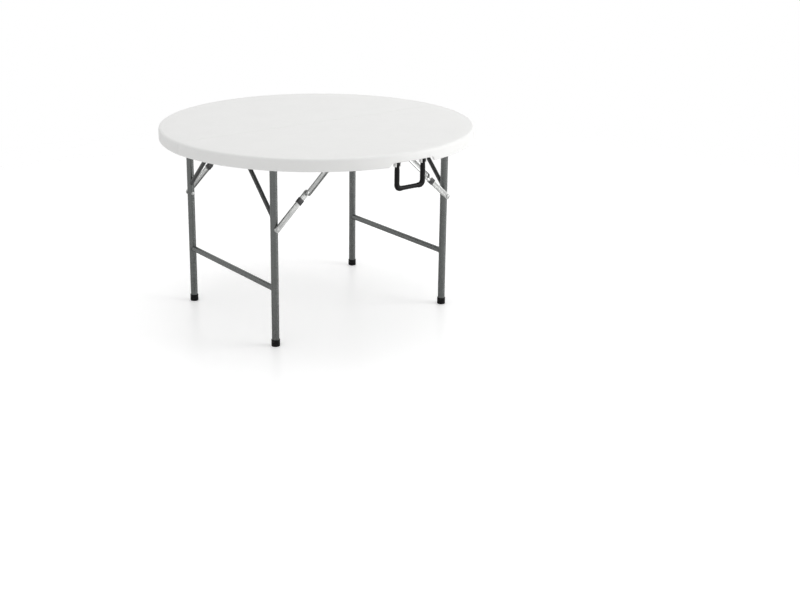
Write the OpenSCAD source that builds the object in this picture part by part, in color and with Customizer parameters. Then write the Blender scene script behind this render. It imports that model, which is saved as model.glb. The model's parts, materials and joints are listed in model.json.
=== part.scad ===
// Round folding garden table: a white moulded top in two hinged halves on two folding steel leg frames.
// Millimetres, +Z up. The origin is on the floor under the middle of the top.
// +X runs along the fold line, -Y is the front, where the carry handle hangs. Left is -X.

/* [Top] */
// Diameter of the round top
top_d = 1220; // [900:10:1500]
// Height of the top surface above the floor
top_h = 740; // [680:5:800]
// Depth of the skirt round the edge, from the top surface down
skirt_h = 48; // [44:1:60]
// Thickness of the flat panel
panel_t = 20; // [16:1:24]
// Thickness of the skirt
skirt_t = 12; // [11:0.5:16]
// Radius of the rounded top edge
edge_r = 10; // [4:0.5:11]
// Gap between the two halves along the fold
seam_gap = 1; // [0.6:0.1:2]

/* [Leg frames] */
// Distance between the two leg frames, centre to centre
frame_span = 792; // [700:2:860]
// Distance between the two legs of a frame, centre to centre
leg_span = 610; // [540:2:640]
// Outer diameter of the leg and pivot tubes
tube_d = 28; // [22:0.5:30]
// Wall of all the steel tubes
tube_wall = 1.5; // [1:0.1:2.5]
// Height of the stretcher's axis above the floor
stretcher_z = 222; // [180:2:300]
// Outer diameter of the stretcher
stretcher_d = 22; // [16:0.5:24]
// How far under the top surface the diagonal stay meets the leg's axis
stay_h = 256; // [240:2:270]
// Outer diameter of the diagonal stay
stay_d = 16.5; // [12:0.5:18]
// Distance from the fold line to the inner end of each pivot tube
pivot_inner_y = 65; // [50:1:75]
// Gap between the folded left frame's tubes and the panel
tuck_gap = 3.5; // [3:0.1:5]
// Gap between the two leg frames when both are folded
stack_gap = 4; // [3:0.1:5]
// Wall of the foot caps
cap_wall = 2.5; // [1.5:0.1:2.8]
// Height of the foot caps
cap_h = 26; // [20:1:60]
// Thickness of the foot caps' floor
cap_floor = 4; // [2:0.5:8]
// Bevel round the bottom of the foot caps
cap_bevel = 1.5; // [0.5:0.1:2]

/* [Folding braces] */
// How far under the top surface a brace is pinned to its leg
brace_pin_h = 289; // [278:1:300]
// Extra length of the upper link over the lower link
link_step = 19; // [10:1:30]
// Width of the pressed links
link_w = 20; // [16:0.5:21]
// Depth of the pressed links
link_depth = 8.5; // [6:0.1:10]
// Thickness of the links' sheet
link_t = 1.5; // [1:0.1:2]
// Radius of the rivets' shanks
rivet_r = 3.5; // [2.5:0.1:4]
// Radius of the rivets' heads
rivet_head_r = 6; // [5:0.1:7]
// Thickness of the rivets' heads
rivet_head_t = 1.7; // [1.2:0.1:2]
// Length of the lock sleeves
sleeve_l = 22; // [15:1:26]
// Wall of the lock sleeves
sleeve_wall = 1.2; // [0.8:0.1:1.5]
// Travel of a lock sleeve up its link
sleeve_travel = 24; // [10:1:26]

/* [Handle] */
// Width of the handle between the middles of its arms
handle_w = 116; // [100:2:130]
// Distance from the handle's pivot down to the middle of its grip
handle_h = 90; // [70:2:110]
// Radius of the handle's arms and grip
handle_r = 8; // [6:0.5:8.4]
// Radius of the bends at the middle of the bar
handle_bend_r = 16; // [12:1:24]
// Radius of the handle's pins
handle_pin_r = 3; // [2:0.1:4]
// Height of the notch in the skirt over the handle
notch_h = 15; // [13:0.5:16]
// Length of the notch in the skirt
notch_l = 190; // [170:2:240]

/* [Fittings] */
// Width of a fold hinge along the fold line
hinge_w = 60; // [50:1:80]
// Reach of a hinge leaf from the fold line
leaf_l = 32; // [26:1:45]
// Thickness of a hinge leaf
leaf_t = 2; // [1.5:0.1:2.5]
// Radius of a hinge knuckle
knuckle_r = 4; // [3.5:0.1:5]
// Radius of a hinge pin
hinge_pin_r = 2; // [1.5:0.1:2.5]
// Gap along a rail between its end and the skirt
rail_end_gap = 28; // [24:1:40]
// Width of the rails
rail_w = 20; // [16:1:24]
// Depth of the rails
rail_h = 20; // [16:1:24]
// Thickness of the rails' sheet
rail_t = 1.5; // [1:0.1:2]
// Thickness of the bearing plates on the rails
plate_t = 3.5; // [3:0.1:4.5]
// Thickness of the brace brackets
bracket_t = 3; // [2:0.1:4]
// Width of the inner bearing blocks along the pivot tube
block_l = 22; // [16:1:30]
// Distance from the fold line to the middle of the inner bearing blocks
block_y = 211; // [200:1:220]
// Wall of a bearing block round its tube
block_wall = 5; // [4:0.5:6]
// Length of a bearing block's ears
ear_l = 14; // [12:1:18]
// Thickness of a bearing block's ears
ear_t = 4; // [3:0.5:6]
// Radius of the screws' shanks
screw_r = 1.75; // [1.5:0.05:2.5]
// Radius of the screws' heads
screw_head_r = 3.4; // [3:0.1:3.5]
// Thickness of the screws' heads
screw_head_t = 1.6; // [1:0.1:2]
// Depth of the screws in the panel
screw_bite = 12; // [8:0.5:14]

/* [Clearances] */
// Radial clearance of a pin or tube that turns in its hole
running_gap = 0.05; // [0.02:0.01:0.1]
// Gap beside parts that turn or slide past each other
side_gap = 0.5; // [0.4:0.05:1]
// Play of a lock sleeve on its link
sleeve_play = 0.3; // [0.25:0.01:0.4]
// Gap between a leg and the lock sleeve that folds beside it
leg_gap = 1; // [0.5:0.1:2]
// Gap between the brace rivets and the rails
rail_gap = 5.8; // [4:0.1:8]

/* [Hidden] */

// Facets of the large round top, of tubes and of small round parts
top_fn = 240;
tube_fn = 64;
small_fn = 32;
// Overrun of every cut past the face that it opens
over = 1;

// Which side a piece is on: -1 is left or front, 1 is right or rear
LEFT = -1;
RIGHT = 1;
FRONT = -1;
REAR = 1;

// Levels and radii of the top
top_r = top_d / 2;
panel_z = top_h - panel_t;
skirt_z = top_h - skirt_h;
skirt_in_r = top_r - skirt_t;
tube_r = tube_d / 2;
stay_r = stay_d / 2;
stretcher_r = stretcher_d / 2;
link_r = link_w / 2;
cap_r = tube_r + cap_wall;

// Places of the legs and of the axes that the frames turn about; the right frame folds under the left
leg_x = frame_span / 2;
leg_y = leg_span / 2;
pivot_z_left = panel_z - tuck_gap - tube_r;
pivot_z_right = pivot_z_left - tube_d - stack_gap;
function pivot_z(side) = side < 0 ? pivot_z_left : pivot_z_right;
stay_z = top_h - stay_h;
brace_pin_z = top_h - brace_pin_h;

// Layers of a folding brace outside its leg, counted away from the fold line
low_y = leg_y + tube_r + leg_gap + sleeve_wall + sleeve_play;
low_end_y = low_y + link_depth;
up_head_y = low_end_y + rivet_head_t + side_gap;
up_y = up_head_y + rivet_head_t;
up_end_y = up_y + link_depth;
bracket_y = up_end_y + side_gap;
bracket_end_y = bracket_y + bracket_t;
rail_y = bracket_end_y + rivet_head_t + rail_gap;
plate_y = rail_y - plate_t;
pivot_end_y = rail_y - side_gap;
rail_l = 2 * (sqrt(pow(skirt_in_r, 2) - pow(rail_y + rail_w, 2)) - rail_end_gap);

// A brace is straight when open; folded, both links lie along the pivot's height
function brace_drop(side) = pivot_z(side) - brace_pin_z;
function brace_reach(side) = brace_drop(side) + link_step;
function brace_l(side) = norm([brace_drop(side), brace_reach(side)]);
function lower_l(side) = (brace_l(side) - link_step) / 2;
leg_pin = [leg_x, brace_pin_z];
function anchor_pin(side) = [leg_x - brace_reach(side), pivot_z(side)];
function along_brace(side, length) =
    leg_pin + (anchor_pin(side) - leg_pin) * length / brace_l(side);
function elbow(side) = along_brace(side, lower_l(side));
function sleeve_end(side) = lower_l(side) - rivet_head_r - side_gap - sleeve_travel;

// The handle hangs inside the skirt's line, with its pins in two lugs
handle_y = skirt_in_r - handle_bend_r + handle_pin_r;
handle_z = skirt_z + notch_h - handle_r - leg_gap - side_gap;
handle_x = handle_w / 2;
lug_t = handle_pin_r;
lug_x = handle_x + handle_r + side_gap;
lug_inner_x = handle_x - handle_r - side_gap - lug_t;
lug_half = handle_r;

// Fold hinges, as shares of the top's radius from the middle
hinge_place_shares = [-0.82, -0.38, 0.38, 0.82];
hinge_xs = [for (share = hinge_place_shares) share * top_r];
knuckle_z = panel_z - knuckle_r;
knuckle_share = 1 / 3;
// Rail screws, as shares of the rail's length from the middle
rail_screw_shares = [-0.46, -0.23, 0, 0.23, 0.46];
// Where the screws stand on a leaf, a block ear and a bracket, as shares of their width or length
leaf_screw_share = 0.3;
leaf_reach_share = 0.62;
bracket_w = 2.6 * link_r;
bracket_screw_share = 0.34;
block_half = tube_r + block_wall;

function hinge_screws(face) =
    [for (x = hinge_xs) for (end = [-1, 1]) [x + end * hinge_w * leaf_screw_share,
        face * leaf_l * leaf_reach_share]];
function block_screws(face) =
    [for (side = [LEFT, RIGHT]) for (end = [-1, 1]) [side * leg_x + end * (block_half + ear_l / 2),
        face * block_y]];
function bracket_screws(face) =
    [for (side = [LEFT, RIGHT]) for (end = [-1, 1]) [side * anchor_pin(side)[0]
        + end * bracket_w * bracket_screw_share, face * (bracket_end_y + rail_y) / 2]];
function rail_screws(face) =
    [for (share = rail_screw_shares) [share * rail_l, face * (rail_y + rail_w / 2)]];

// Turns a piece drawn for the right rear corner to another corner
module corner(side, face) {
    mirror([side < 0 ? 1 : 0, 0, 0]) mirror([0, face < 0 ? 1 : 0, 0]) children();
}

// Extrudes a drawing in X and Z between two distances from the fold line
module slab(y0, y1) {
    translate([0, y1, 0]) rotate([90, 0, 0]) linear_extrude(y1 - y0) children();
}

// Round bar along Y or X
module bar_y(r, y0, y1, x, z, fn = small_fn) {
    translate([x, y1, z]) rotate([90, 0, 0]) cylinder(r = r, h = y1 - y0, $fn = fn);
}

module bar_x(r, x0, x1, y, z, fn = small_fn) {
    translate([x0, y, z]) rotate([0, 90, 0]) cylinder(r = r, h = x1 - x0, $fn = fn);
}

// Outline with two round ends, round the points a and b
module slot_shape(a, b, r) {
    translate(a) rotate(atan2(b[1] - a[1], b[0] - a[0])) {
        circle(r, $fn = small_fn);
        translate([norm(b - a), 0]) circle(r, $fn = small_fn);
        translate([0, -r]) square([norm(b - a), 2 * r]);
    }
}

// Screws up into the panel, with their heads under the level z0
module screws(points, z0) {
    for (p = points) {
        translate([p[0], p[1], z0]) cylinder(r = screw_r, h = panel_z + screw_bite - z0, $fn = small_fn);
        translate([p[0], p[1], z0 - screw_head_t])
            cylinder(r = screw_head_r, h = screw_head_t, $fn = small_fn);
    }
}

// Holes for the same screws
module screw_holes(points) {
    for (p = points) translate([p[0], p[1], skirt_z])
        cylinder(r = screw_r, h = panel_z + screw_bite - skirt_z, $fn = small_fn);
}

// Section of the whole round top: the panel, the rounded edge and the skirt with its round lip
module top_section() {
    translate([0, panel_z]) square([top_r - edge_r, panel_t]);
    translate([skirt_in_r, skirt_z + skirt_t / 2]) square([skirt_t, skirt_h - skirt_t / 2 - edge_r]);
    translate([skirt_in_r, panel_z]) square([skirt_t - edge_r, panel_t]);
    translate([skirt_in_r + skirt_t / 2, skirt_z + skirt_t / 2]) circle(skirt_t / 2, $fn = small_fn);
    translate([top_r - edge_r, top_h - edge_r]) circle(edge_r, $fn = tube_fn);
}

// The opening in the front skirt that the handle swings through
module handle_notch() {
    translate([-notch_l / 2, -top_r - over, skirt_z - over])
        cube([notch_l, skirt_t + notch_h * 2, notch_h + over]);
}

module top_half(face) {
    color("whitesmoke") difference() {
        rotate_extrude($fn = top_fn) top_section();
        mirror([0, face > 0 ? 1 : 0, 0]) translate([-top_r - over, -seam_gap / 2, skirt_z - over])
            cube([top_d + 2 * over, top_r + seam_gap + over, skirt_h + 2 * over]);
        screw_holes(concat(hinge_screws(face), block_screws(face), bracket_screws(face),
            rail_screws(face)));
        if (face < 0) handle_notch();
    }
}

// Leaf of one hinge; the front leaf carries the two outer knuckles, the rear leaf the middle one
module hinge_leaf(x, face) {
    inner = hinge_w * knuckle_share / 2;
    difference() {
        union() {
            translate([x - hinge_w / 2, face > 0 ? knuckle_r + side_gap : -leaf_l, panel_z - leaf_t])
                cube([hinge_w, leaf_l - knuckle_r - side_gap, leaf_t]);
            for (end = face > 0 ? [0] : [-1, 1]) {
                low = end == 0 ? -inner + side_gap : min(end * inner, end * hinge_w / 2);
                high = end == 0 ? inner - side_gap : max(end * inner, end * hinge_w / 2);
                bar_x(knuckle_r, x + low, x + high, 0, knuckle_z);
                translate([x + low, face > 0 ? 0 : -knuckle_r - leaf_t, panel_z - leaf_t])
                    cube([high - low, knuckle_r + leaf_t, leaf_t]);
            }
        }
        bar_x(hinge_pin_r, x - hinge_w, x + hinge_w, 0, knuckle_z);
    }
}

module hinge_leaves(face) {
    color("silver") difference() {
        for (x = hinge_xs) hinge_leaf(x, face);
        screw_holes(hinge_screws(face));
    }
}

module hinge_pins() {
    color("silver") for (x = hinge_xs) bar_x(hinge_pin_r, x - hinge_w / 2, x + hinge_w / 2, 0, knuckle_z);
}

// Channel under the top, open downwards, that carries the outer ends of the pivot tubes
module rail(face) {
    color("dimgray") corner(RIGHT, face) difference() {
        translate([-rail_l / 2, rail_y, panel_z - rail_h]) cube([rail_l, rail_w, rail_h]);
        translate([-rail_l / 2 - over, rail_y + rail_t, panel_z - rail_h - over])
            cube([rail_l + 2 * over, rail_w - 2 * rail_t, rail_h - rail_t + over]);
        screw_holes(rail_screws(REAR));
    }
}

// Moulded block that holds the inner stretch of a pivot tube under the panel
module bearing_block(side, face) {
    z = pivot_z(side);
    corner(side, face) difference() {
        union() {
            bar_y(block_half, block_y - block_l / 2, block_y + block_l / 2, leg_x, z, tube_fn);
            translate([leg_x - block_half, block_y - block_l / 2, z])
                cube([2 * block_half, block_l, panel_z - z]);
            translate([leg_x - block_half - ear_l, block_y - block_l / 2, panel_z - ear_t])
                cube([2 * (block_half + ear_l), block_l, ear_t]);
        }
        bar_y(tube_r + running_gap, block_y - block_l, block_y + block_l, leg_x, z, tube_fn);
        for (end = [-1, 1]) translate([leg_x + end * (block_half + ear_l / 2), block_y, panel_z - 2 * ear_t])
            cylinder(r = screw_r, h = 3 * ear_t, $fn = small_fn);
        // The block ends flat under the panel, above which its round body would reach
        translate([leg_x - 2 * block_half, block_y - block_l, panel_z])
            cube([4 * block_half, 2 * block_l, block_half]);
    }
}

module bearing_blocks(side) {
    color("dimgray") for (face = [FRONT, REAR]) bearing_block(side, face);
}

// Steel plate on the rail's inner face, with the bearing hole for the pivot tube's outer end
module bearing_plates(side) {
    z = pivot_z(side);
    color("gray") for (face = [FRONT, REAR]) corner(side, face) slab(plate_y, rail_y) difference() {
        union() {
            translate([leg_x, z]) circle(block_half, $fn = tube_fn);
            translate([leg_x - block_half, z]) square([2 * block_half, panel_z - z]);
        }
        translate([leg_x, z]) circle(tube_r + running_gap, $fn = tube_fn);
        translate([leg_x - 2 * block_half, panel_z]) square([4 * block_half, block_half]);
    }
}

// Angle bracket that anchors a folding brace under the top, against the rail
module brace_brackets(side) {
    pin = anchor_pin(side);
    color("silver") for (face = [FRONT, REAR]) corner(side, face) difference() {
        union() {
            slab(bracket_y, bracket_end_y) {
                translate(pin) circle(bracket_w / 2, $fn = small_fn);
                translate([pin[0] - bracket_w / 2, pin[1]]) square([bracket_w, panel_z - pin[1]]);
            }
            translate([pin[0] - bracket_w / 2, bracket_y, panel_z - bracket_t])
                cube([bracket_w, rail_y - bracket_y, bracket_t]);
        }
        bar_y(rivet_r, bracket_y - over, bracket_end_y + over, pin[0], pin[1]);
        for (end = [-1, 1])
            translate([pin[0] + end * bracket_w * bracket_screw_share, (bracket_end_y + rail_y) / 2,
                panel_z - 2 * bracket_t]) cylinder(r = screw_r, h = 3 * bracket_t, $fn = small_fn);
    }
}

// Rivet that the upper link turns on, with a collar that keeps the link off its bracket
module anchor_rivets(side) {
    pin = anchor_pin(side);
    color("silver") for (face = [FRONT, REAR]) corner(side, face) {
        bar_y(rivet_r, up_head_y, bracket_end_y + rivet_head_t, pin[0], pin[1]);
        bar_y(rivet_head_r, up_head_y, up_y - running_gap, pin[0], pin[1]);
        bar_y(rivet_head_r, up_y + link_t + running_gap, bracket_y, pin[0], pin[1]);
        bar_y(rivet_head_r, bracket_end_y, bracket_end_y + rivet_head_t, pin[0], pin[1]);
    }
}

module handle_lugs() {
    color("whitesmoke") difference() {
        for (side = [LEFT, RIGHT]) corner(side, FRONT) for (x = [lug_inner_x, lug_x])
            translate([x, handle_y - lug_half, handle_z - lug_half])
                cube([lug_t, 2 * lug_half, panel_z - handle_z + lug_half]);
        bar_x(handle_pin_r, -notch_l / 2, notch_l / 2, -handle_y, handle_z);
    }
}

module handle_pins() {
    color("silver") for (side = [LEFT, RIGHT]) corner(side, FRONT)
        bar_x(handle_pin_r, lug_inner_x, lug_x + lug_t, handle_y, handle_z);
}

module panel_screws() {
    color("silver") for (face = [FRONT, REAR]) {
        screws(hinge_screws(face), panel_z - leaf_t);
        screws(block_screws(face), panel_z - ear_t);
        screws(bracket_screws(face), panel_z - bracket_t);
        screws(rail_screws(face), panel_z - rail_t);
    }
}

// Upright tube, saddle-cut under the pivot tube, with a cross hole for the brace's pin
module leg(side, face) {
    z = pivot_z(side);
    color("dimgray") corner(side, face) difference() {
        translate([leg_x, leg_y, cap_floor]) cylinder(r = tube_r, h = z - cap_floor, $fn = tube_fn);
        translate([leg_x, leg_y, cap_floor - over])
            cylinder(r = tube_r - tube_wall, h = z - cap_floor, $fn = tube_fn);
        bar_y(tube_r, leg_y - tube_d, leg_y + tube_d, leg_x, z, tube_fn);
        bar_y(rivet_r, leg_y - tube_d, leg_y + tube_d, leg_x, brace_pin_z);
    }
}

module pivot_tube(side, face) {
    color("dimgray") corner(side, face) difference() {
        bar_y(tube_r, pivot_inner_y, pivot_end_y, leg_x, pivot_z(side), tube_fn);
        bar_y(tube_r - tube_wall, pivot_inner_y - over, pivot_end_y + over, leg_x, pivot_z(side), tube_fn);
    }
}

// Diagonal tube in the frame's plane at 45 degrees, saddle-cut to the leg and the pivot tube
module stay(side, face) {
    z = pivot_z(side);
    rise = z - stay_z;
    color([0.2, 0.2, 0.2]) corner(side, face) difference() {
        translate([leg_x, leg_y, stay_z]) rotate([45, 0, 0]) difference() {
            cylinder(r = stay_r, h = rise * sqrt(2), $fn = tube_fn);
            translate([0, 0, -over]) cylinder(r = stay_r - tube_wall, h = rise * sqrt(2) + 2 * over,
                $fn = tube_fn);
        }
        translate([leg_x, leg_y, stay_z - tube_d]) cylinder(r = tube_r, h = rise, $fn = tube_fn);
        bar_y(tube_r, leg_y - rise - tube_d, leg_y, leg_x, z, tube_fn);
    }
}

// Low cross tube, saddle-cut to both legs
module stretcher(side) {
    color("dimgray") corner(side, REAR) difference() {
        bar_y(stretcher_r, -leg_y, leg_y, leg_x, stretcher_z, tube_fn);
        bar_y(stretcher_r - tube_wall, -leg_y - over, leg_y + over, leg_x, stretcher_z, tube_fn);
        for (face = [FRONT, REAR]) translate([leg_x, face * leg_y, stretcher_z - tube_d])
            cylinder(r = tube_r, h = 2 * tube_d, $fn = tube_fn);
    }
}

module foot_cap(side, face) {
    color([0.07, 0.07, 0.07]) corner(side, face) translate([leg_x, leg_y, 0]) difference() {
        union() {
            cylinder(r1 = cap_r - cap_bevel, r2 = cap_r, h = cap_bevel, $fn = tube_fn);
            translate([0, 0, cap_bevel]) cylinder(r = cap_r, h = cap_h - cap_bevel, $fn = tube_fn);
        }
        translate([0, 0, cap_floor]) cylinder(r = tube_r, h = cap_h, $fn = tube_fn);
    }
}

// Pin through the leg that the lower link turns on, with a collar between leg and link
module leg_pins(side) {
    color("silver") for (face = [FRONT, REAR]) corner(side, face) difference() {
        union() {
            bar_y(rivet_r, leg_y - tube_r - rivet_head_t, low_end_y + rivet_head_t, leg_x, brace_pin_z);
            bar_y(rivet_head_r, leg_y, low_end_y - link_t - running_gap, leg_x, brace_pin_z);
            bar_y(rivet_head_r, leg_y - tube_r - rivet_head_t, leg_y, leg_x, brace_pin_z);
            bar_y(rivet_head_r, low_end_y + running_gap, low_end_y + rivet_head_t, leg_x, brace_pin_z);
        }
        // The collar and the inner head are hollowed to the leg's round surface
        difference() {
            translate([leg_x, leg_y, brace_pin_z - tube_d]) cylinder(r = tube_r, h = 2 * tube_d, $fn = tube_fn);
            bar_y(rivet_r, leg_y - tube_d, leg_y + tube_d, leg_x, brace_pin_z);
        }
    }
}

// Pressed link: a flat web with a turned wall all round; the web is on the side away from the wall's mouth
module link(a, b, y0, y1, web_outside) {
    difference() {
        slab(y0, y1) slot_shape(a, b, link_r);
        slab(web_outside ? y0 - over : y0 + link_t, web_outside ? y1 - link_t : y1 + over)
            slot_shape(a, b, link_r - link_t);
    }
}

module lower_link(side, face) {
    end = elbow(side);
    color("silver") corner(side, face) difference() {
        link(leg_pin, end, low_y, low_end_y, true);
        bar_y(rivet_r + running_gap, low_y, low_end_y + over, leg_x, brace_pin_z);
        bar_y(rivet_r, low_y, low_end_y + over, end[0], end[1]);
    }
}

module upper_link(side, face) {
    end = elbow(side);
    pin = anchor_pin(side);
    color("silver") corner(side, face) difference() {
        link(end, pin, up_y, up_end_y, false);
        bar_y(rivet_r + running_gap, up_y - over, up_end_y, pin[0], pin[1]);
        bar_y(rivet_r, up_y - over, up_end_y, end[0], end[1]);
    }
}

// The elbow's rivet is split between the links, because a turning tree of parts leaves that pivot open
module elbow_rivet(side, face, web_y, out_y, in_y) {
    end = elbow(side);
    color("silver") corner(side, face) {
        bar_y(rivet_r, web_y, web_y + link_t, end[0], end[1]);
        bar_y(rivet_head_r, web_y + link_t, out_y, end[0], end[1]);
        bar_y(rivet_head_r, in_y, web_y, end[0], end[1]);
    }
}

module lower_rivet(side, face) {
    elbow_rivet(side, face, low_end_y - link_t, low_end_y + rivet_head_t,
        low_end_y - link_t - rivet_head_t);
}

module upper_rivet(side, face) {
    elbow_rivet(side, face, up_y, up_y + link_t + rivet_head_t, up_head_y);
}

// Sleeve that slides on the lower link and locks the brace when it is pushed up to the elbow
module lock_sleeve(side, face) {
    hole_r = link_r + sleeve_play;
    out_r = hole_r + sleeve_wall;
    tilt = atan2(brace_drop(side), -brace_reach(side));
    color([0.07, 0.07, 0.07]) corner(side, face) difference() {
        slab(low_y - sleeve_play - sleeve_wall, low_end_y + sleeve_play + sleeve_wall)
            translate(along_brace(side, sleeve_end(side) - sleeve_l)) rotate(tilt)
            translate([0, -out_r]) square([sleeve_l, 2 * out_r]);
        slab(low_y - sleeve_play, low_end_y + sleeve_play)
            translate(along_brace(side, sleeve_end(side) - sleeve_l - over)) rotate(tilt)
            translate([0, -hole_r]) square([sleeve_l + 2 * over, 2 * hole_r]);
    }
}

// U-shaped bar with eyes at the top of both arms
module handle() {
    bend_z = handle_z - handle_h + handle_bend_r;
    bend_x = handle_x - handle_bend_r;
    color([0.05, 0.05, 0.05]) difference() {
        union() {
            for (side = [LEFT, RIGHT]) corner(side, FRONT) {
                translate([handle_x, handle_y, bend_z])
                    cylinder(r = handle_r, h = handle_z - bend_z, $fn = small_fn);
                bar_x(handle_r, handle_x - handle_r, handle_x + handle_r, handle_y, handle_z);
                translate([bend_x, handle_y, bend_z]) rotate([-90, 0, 0])
                    rotate_extrude(angle = 90, $fn = tube_fn)
                    translate([handle_bend_r, 0]) circle(handle_r, $fn = small_fn);
            }
            bar_x(handle_r, -bend_x, bend_x, -handle_y, bend_z - handle_bend_r);
        }
        bar_x(handle_pin_r + running_gap, -notch_l / 2, notch_l / 2, -handle_y, handle_z);
    }
}

top_half(FRONT);  // top_half_front
top_half(REAR);  // top_half_rear
hinge_leaves(FRONT);  // hinge_leaves_front
hinge_leaves(REAR);  // hinge_leaves_rear
hinge_pins();
rail(FRONT);  // rail_front
rail(REAR);  // rail_rear
bearing_blocks(LEFT);  // bearing_blocks_left
bearing_blocks(RIGHT);  // bearing_blocks_right
bearing_plates(LEFT);  // bearing_plates_left
bearing_plates(RIGHT);  // bearing_plates_right
brace_brackets(LEFT);  // brace_brackets_left
brace_brackets(RIGHT);  // brace_brackets_right
anchor_rivets(LEFT);  // anchor_rivets_left
anchor_rivets(RIGHT);  // anchor_rivets_right
handle_lugs();
handle_pins();
panel_screws();
leg(LEFT, FRONT);  // leg_front_left
leg(LEFT, REAR);  // leg_rear_left
leg(RIGHT, FRONT);  // leg_front_right
leg(RIGHT, REAR);  // leg_rear_right
pivot_tube(LEFT, FRONT);  // pivot_tube_front_left
pivot_tube(LEFT, REAR);  // pivot_tube_rear_left
pivot_tube(RIGHT, FRONT);  // pivot_tube_front_right
pivot_tube(RIGHT, REAR);  // pivot_tube_rear_right
stay(LEFT, FRONT);  // stay_front_left
stay(LEFT, REAR);  // stay_rear_left
stay(RIGHT, FRONT);  // stay_front_right
stay(RIGHT, REAR);  // stay_rear_right
stretcher(LEFT);  // stretcher_left
stretcher(RIGHT);  // stretcher_right
foot_cap(LEFT, FRONT);  // foot_cap_front_left
foot_cap(LEFT, REAR);  // foot_cap_rear_left
foot_cap(RIGHT, FRONT);  // foot_cap_front_right
foot_cap(RIGHT, REAR);  // foot_cap_rear_right
leg_pins(LEFT);  // leg_pins_left
leg_pins(RIGHT);  // leg_pins_right
lower_link(LEFT, FRONT);  // lower_link_front_left
lower_link(LEFT, REAR);  // lower_link_rear_left
lower_link(RIGHT, FRONT);  // lower_link_front_right
lower_link(RIGHT, REAR);  // lower_link_rear_right
upper_link(LEFT, FRONT);  // upper_link_front_left
upper_link(LEFT, REAR);  // upper_link_rear_left
upper_link(RIGHT, FRONT);  // upper_link_front_right
upper_link(RIGHT, REAR);  // upper_link_rear_right
lower_rivet(LEFT, FRONT);  // lower_rivet_front_left
lower_rivet(LEFT, REAR);  // lower_rivet_rear_left
lower_rivet(RIGHT, FRONT);  // lower_rivet_front_right
lower_rivet(RIGHT, REAR);  // lower_rivet_rear_right
upper_rivet(LEFT, FRONT);  // upper_rivet_front_left
upper_rivet(LEFT, REAR);  // upper_rivet_rear_left
upper_rivet(RIGHT, FRONT);  // upper_rivet_front_right
upper_rivet(RIGHT, REAR);  // upper_rivet_rear_right
lock_sleeve(LEFT, FRONT);  // lock_sleeve_front_left
lock_sleeve(LEFT, REAR);  // lock_sleeve_rear_left
lock_sleeve(RIGHT, FRONT);  // lock_sleeve_front_right
lock_sleeve(RIGHT, REAR);  // lock_sleeve_rear_right
handle();
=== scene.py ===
"""Finishes and fine shapes of a round folding garden table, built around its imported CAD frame."""

from __future__ import annotations

import json
import logging
import math
from dataclasses import dataclass
from enum import Enum
from typing import Callable, Iterable, Sequence

import bmesh
import bpy
import numpy as np
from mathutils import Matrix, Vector

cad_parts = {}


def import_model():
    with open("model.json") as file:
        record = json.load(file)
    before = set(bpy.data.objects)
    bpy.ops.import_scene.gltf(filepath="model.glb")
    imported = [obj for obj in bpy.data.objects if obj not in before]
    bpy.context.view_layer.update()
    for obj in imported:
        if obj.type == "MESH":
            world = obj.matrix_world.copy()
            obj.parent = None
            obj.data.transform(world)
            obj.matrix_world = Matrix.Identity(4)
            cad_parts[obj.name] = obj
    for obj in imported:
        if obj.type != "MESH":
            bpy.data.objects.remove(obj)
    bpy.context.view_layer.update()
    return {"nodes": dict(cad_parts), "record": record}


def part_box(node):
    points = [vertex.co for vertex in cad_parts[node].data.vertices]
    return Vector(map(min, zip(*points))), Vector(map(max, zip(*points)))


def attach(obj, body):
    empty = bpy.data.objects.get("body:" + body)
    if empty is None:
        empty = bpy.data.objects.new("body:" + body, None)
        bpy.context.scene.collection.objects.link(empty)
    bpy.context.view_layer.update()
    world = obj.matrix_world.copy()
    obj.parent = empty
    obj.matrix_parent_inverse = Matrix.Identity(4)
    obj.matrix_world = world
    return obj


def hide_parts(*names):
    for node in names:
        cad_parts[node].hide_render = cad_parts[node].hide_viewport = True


logging.basicConfig(level=logging.INFO, format="%(message)s")
log = logging.getLogger("table")

MM = 0.001
MERGE_DISTANCE = 1e-6

# Sockets of Blender's colour Mix node, which share their names and are told apart by number.
MIX_FACTOR, MIX_FIRST, MIX_SECOND, MIX_RESULT = 0, 6, 7, 2
# The same of the Random Value node, for single numbers.
RANDOM_MAX, RANDOM_RESULT = 3, 1

# Distance between the rows of a staggered pattern, as a share of its pitch.
STAGGER = math.sqrt(0.75)


class Face(Enum):
    """Front or rear half of the table, by the sign of Y."""

    FRONT = -1
    REAR = 1

    @property
    def word(self) -> str:
        """Name of the face as the CAD nodes spell it."""
        return self.name.lower()


class Side(Enum):
    """Left or right leg frame, by the sign of X."""

    LEFT = -1
    RIGHT = 1

    @property
    def word(self) -> str:
        """Name of the side as the CAD nodes spell it."""
        return self.name.lower()


class Zone(Enum):
    """Where a point of the top's section lies."""

    TOP = "upper face and rounded edge"
    LIP = "lower edge of the skirt"
    FILLET = "inner corner"
    UNDER = "underside"


CORNERS = [(face, side) for side in Side for face in Face]


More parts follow.
